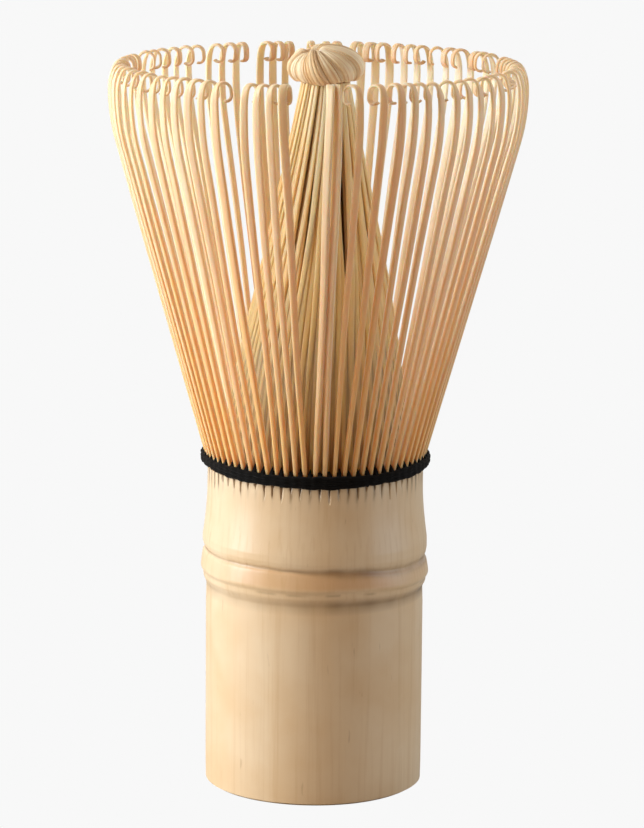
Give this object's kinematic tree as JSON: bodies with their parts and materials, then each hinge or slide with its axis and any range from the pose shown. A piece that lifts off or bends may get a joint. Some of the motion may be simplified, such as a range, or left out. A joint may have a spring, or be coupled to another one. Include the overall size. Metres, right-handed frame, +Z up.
{
  "type": "bamboo tea whisk",
  "caption": "Bamboo whisk cut from a culm: an outer ring of curled springy tines round a cone of inner tines tied into a knot, laced with black thread over a noded hollow handle.",
  "frame": {"origin": "centre of the handle's bottom face", "axes": "+Z up the handle's axis to the knot, -Y towards the front"},
  "size_m": [0.0598, 0.0598, 0.108],
  "materials": {
    "culm_skin": "pale straw bamboo skin, satin, with faint lengthwise fibre streaks",
    "outer_tine": "split bamboo, straw at the curls and honey towards the root, satin",
    "inner_tine": "split bamboo pith, matt, honey brown with dark splits",
    "thread": "black cotton lacing thread, matt and slightly hairy"
  },
  "bodies": {
    "handle": {"handle": "culm_skin", "lacing_thread": "thread"},
    "outer_tines_01": {"outer_tines_01": "outer_tine"},
    "outer_tines_02": {"outer_tines_02": "outer_tine"},
    "outer_tines_03": {"outer_tines_03": "outer_tine"},
    "outer_tines_04": {"outer_tines_04": "outer_tine"},
    "outer_tines_05": {"outer_tines_05": "outer_tine"},
    "outer_tines_06": {"outer_tines_06": "outer_tine"},
    "outer_tines_07": {"outer_tines_07": "outer_tine"},
    "outer_tines_08": {"outer_tines_08": "outer_tine"},
    "outer_tines_09": {"outer_tines_09": "outer_tine"},
    "outer_tines_10": {"outer_tines_10": "outer_tine"},
    "outer_tines_11": {"outer_tines_11": "outer_tine"},
    "outer_tines_12": {"outer_tines_12": "outer_tine"},
    "outer_tines_13": {"outer_tines_13": "outer_tine"},
    "outer_tines_14": {"outer_tines_14": "outer_tine"},
    "outer_tines_15": {"outer_tines_15": "outer_tine"},
    "outer_tines_16": {"outer_tines_16": "outer_tine"},
    "outer_tines_17": {"outer_tines_17": "outer_tine"},
    "outer_tines_18": {"outer_tines_18": "outer_tine"},
    "outer_tines_19": {"outer_tines_19": "outer_tine"},
    "outer_tines_20": {"outer_tines_20": "outer_tine"},
    "outer_tines_21": {"outer_tines_21": "outer_tine"},
    "outer_tines_22": {"outer_tines_22": "outer_tine"},
    "outer_tines_23": {"outer_tines_23": "outer_tine"},
    "outer_tines_24": {"outer_tines_24": "outer_tine"},
    "cone_foot": {"inner_root_ring": "inner_tine"},
    "cone": {"inner_tines_01": "inner_tine", "inner_tines_02": "inner_tine", "inner_tines_03": "inner_tine", "inner_tines_04": "inner_tine", "inner_tines_05": "inner_tine", "inner_tines_06": "inner_tine", "inner_tines_07": "inner_tine", "inner_tines_08": "inner_tine", "inner_tines_09": "inner_tine", "inner_tines_10": "inner_tine", "inner_tines_11": "inner_tine", "inner_tines_12": "inner_tine", "inner_tines_13": "inner_tine", "inner_tines_14": "inner_tine", "inner_tines_15": "inner_tine", "inner_tines_16": "inner_tine", "inner_tines_17": "inner_tine", "inner_tines_18": "inner_tine", "inner_tines_19": "inner_tine", "inner_tines_20": "inner_tine", "inner_tines_21": "inner_tine", "inner_tines_22": "inner_tine", "inner_tines_23": "inner_tine", "inner_tines_24": "inner_tine", "knot": "inner_tine"}
  },
  "joints": [
    {"name": "outer_tines_01_flex", "type": "hinge", "parent": "handle", "child": "outer_tines_01", "pos_m": [0.00131, -0.01499, 0.0479], "axis": [0.9962, 0.0872, 0], "range_deg": [-3, 5], "stiffness_Nm_per_rad": 0.01},
    {"name": "outer_tines_02_flex", "type": "hinge", "parent": "handle", "child": "outer_tines_02", "pos_m": [0.00453, -0.01435, 0.0479], "axis": [0.9537, 0.3007, 0], "range_deg": [-3, 5], "stiffness_Nm_per_rad": 0.01},
    {"name": "outer_tines_03_flex", "type": "hinge", "parent": "handle", "child": "outer_tines_03", "pos_m": [0.00752, -0.01303, 0.0479], "axis": [0.866, 0.5, 0], "range_deg": [-3, 5], "stiffness_Nm_per_rad": 0.01},
    {"name": "outer_tines_04_flex", "type": "hinge", "parent": "handle", "child": "outer_tines_04", "pos_m": [0.01064, -0.01064, 0.0479], "axis": [0.7071, 0.7071, 0], "range_deg": [-3, 5], "stiffness_Nm_per_rad": 0.01},
    {"name": "outer_tines_05_flex", "type": "hinge", "parent": "handle", "child": "outer_tines_05", "pos_m": [0.01303, -0.00752, 0.0479], "axis": [0.5, 0.866, 0], "range_deg": [-3, 5], "stiffness_Nm_per_rad": 0.01},
    {"name": "outer_tines_06_flex", "type": "hinge", "parent": "handle", "child": "outer_tines_06", "pos_m": [0.01454, -0.0039, 0.0479], "axis": [0.2588, 0.9659, 0], "range_deg": [-3, 5], "stiffness_Nm_per_rad": 0.01},
    {"name": "outer_tines_07_flex", "type": "hinge", "parent": "handle", "child": "outer_tines_07", "pos_m": [0.01505, 0, 0.0479], "axis": [0, 1, 0], "range_deg": [-3, 5], "stiffness_Nm_per_rad": 0.01},
    {"name": "outer_tines_08_flex", "type": "hinge", "parent": "handle", "child": "outer_tines_08", "pos_m": [0.01454, 0.0039, 0.0479], "axis": [-0.2588, 0.9659, 0], "range_deg": [-3, 5], "stiffness_Nm_per_rad": 0.01},
    {"name": "outer_tines_09_flex", "type": "hinge", "parent": "handle", "child": "outer_tines_09", "pos_m": [0.01303, 0.00752, 0.0479], "axis": [-0.5, 0.866, 0], "range_deg": [-3, 5], "stiffness_Nm_per_rad": 0.01},
    {"name": "outer_tines_10_flex", "type": "hinge", "parent": "handle", "child": "outer_tines_10", "pos_m": [0.01064, 0.01064, 0.0479], "axis": [-0.7071, 0.7071, 0], "range_deg": [-3, 5], "stiffness_Nm_per_rad": 0.01},
    {"name": "outer_tines_11_flex", "type": "hinge", "parent": "handle", "child": "outer_tines_11", "pos_m": [0.00752, 0.01303, 0.0479], "axis": [-0.866, 0.5, 0], "range_deg": [-3, 5], "stiffness_Nm_per_rad": 0.01},
    {"name": "outer_tines_12_flex", "type": "hinge", "parent": "handle", "child": "outer_tines_12", "pos_m": [0.0039, 0.01454, 0.0479], "axis": [-0.9659, 0.2588, 0], "range_deg": [-3, 5], "stiffness_Nm_per_rad": 0.01},
    {"name": "outer_tines_13_flex", "type": "hinge", "parent": "handle", "child": "outer_tines_13", "pos_m": [0, 0.01505, 0.0479], "axis": [-1, 0, 0], "range_deg": [-3, 5], "stiffness_Nm_per_rad": 0.01},
    {"name": "outer_tines_14_flex", "type": "hinge", "parent": "handle", "child": "outer_tines_14", "pos_m": [-0.0039, 0.01454, 0.0479], "axis": [-0.9659, -0.2588, 0], "range_deg": [-3, 5], "stiffness_Nm_per_rad": 0.01},
    {"name": "outer_tines_15_flex", "type": "hinge", "parent": "handle", "child": "outer_tines_15", "pos_m": [-0.00752, 0.01303, 0.0479], "axis": [-0.866, -0.5, 0], "range_deg": [-3, 5], "stiffness_Nm_per_rad": 0.01},
    {"name": "outer_tines_16_flex", "type": "hinge", "parent": "handle", "child": "outer_tines_16", "pos_m": [-0.01064, 0.01064, 0.0479], "axis": [-0.7071, -0.7071, 0], "range_deg": [-3, 5], "stiffness_Nm_per_rad": 0.01},
    {"name": "outer_tines_17_flex", "type": "hinge", "parent": "handle", "child": "outer_tines_17", "pos_m": [-0.01303, 0.00752, 0.0479], "axis": [-0.5, -0.866, 0], "range_deg": [-3, 5], "stiffness_Nm_per_rad": 0.01},
    {"name": "outer_tines_18_flex", "type": "hinge", "parent": "handle", "child": "outer_tines_18", "pos_m": [-0.01454, 0.0039, 0.0479], "axis": [-0.2588, -0.9659, 0], "range_deg": [-3, 5], "stiffness_Nm_per_rad": 0.01},
    {"name": "outer_tines_19_flex", "type": "hinge", "parent": "handle", "child": "outer_tines_19", "pos_m": [-0.01505, 0, 0.0479], "axis": [0, -1, 0], "range_deg": [-3, 5], "stiffness_Nm_per_rad": 0.01},
    {"name": "outer_tines_20_flex", "type": "hinge", "parent": "handle", "child": "outer_tines_20", "pos_m": [-0.01454, -0.0039, 0.0479], "axis": [0.2588, -0.9659, 0], "range_deg": [-3, 5], "stiffness_Nm_per_rad": 0.01},
    {"name": "outer_tines_21_flex", "type": "hinge", "parent": "handle", "child": "outer_tines_21", "pos_m": [-0.01303, -0.00752, 0.0479], "axis": [0.5, -0.866, 0], "range_deg": [-3, 5], "stiffness_Nm_per_rad": 0.01},
    {"name": "outer_tines_22_flex", "type": "hinge", "parent": "handle", "child": "outer_tines_22", "pos_m": [-0.01064, -0.01064, 0.0479], "axis": [0.7071, -0.7071, 0], "range_deg": [-3, 5], "stiffness_Nm_per_rad": 0.01},
    {"name": "outer_tines_23_flex", "type": "hinge", "parent": "handle", "child": "outer_tines_23", "pos_m": [-0.00752, -0.01303, 0.0479], "axis": [0.866, -0.5, 0], "range_deg": [-3, 5], "stiffness_Nm_per_rad": 0.01},
    {"name": "outer_tines_24_flex", "type": "hinge", "parent": "handle", "child": "outer_tines_24", "pos_m": [-0.00326, -0.01469, 0.0479], "axis": [0.9763, -0.2164, 0], "range_deg": [-3, 5], "stiffness_Nm_per_rad": 0.01},
    {"name": "cone_sway_front", "type": "hinge", "parent": "handle", "child": "cone_foot", "pos_m": [0, 0, 0.0467], "axis": [1, 0, 0], "range_deg": [-3, 3], "stiffness_Nm_per_rad": 0.3},
    {"name": "cone_sway_side", "type": "hinge", "parent": "cone_foot", "child": "cone", "pos_m": [0, 0, 0.0467], "axis": [0, 1, 0], "range_deg": [-3, 3], "stiffness_Nm_per_rad": 0.3}
  ]
}
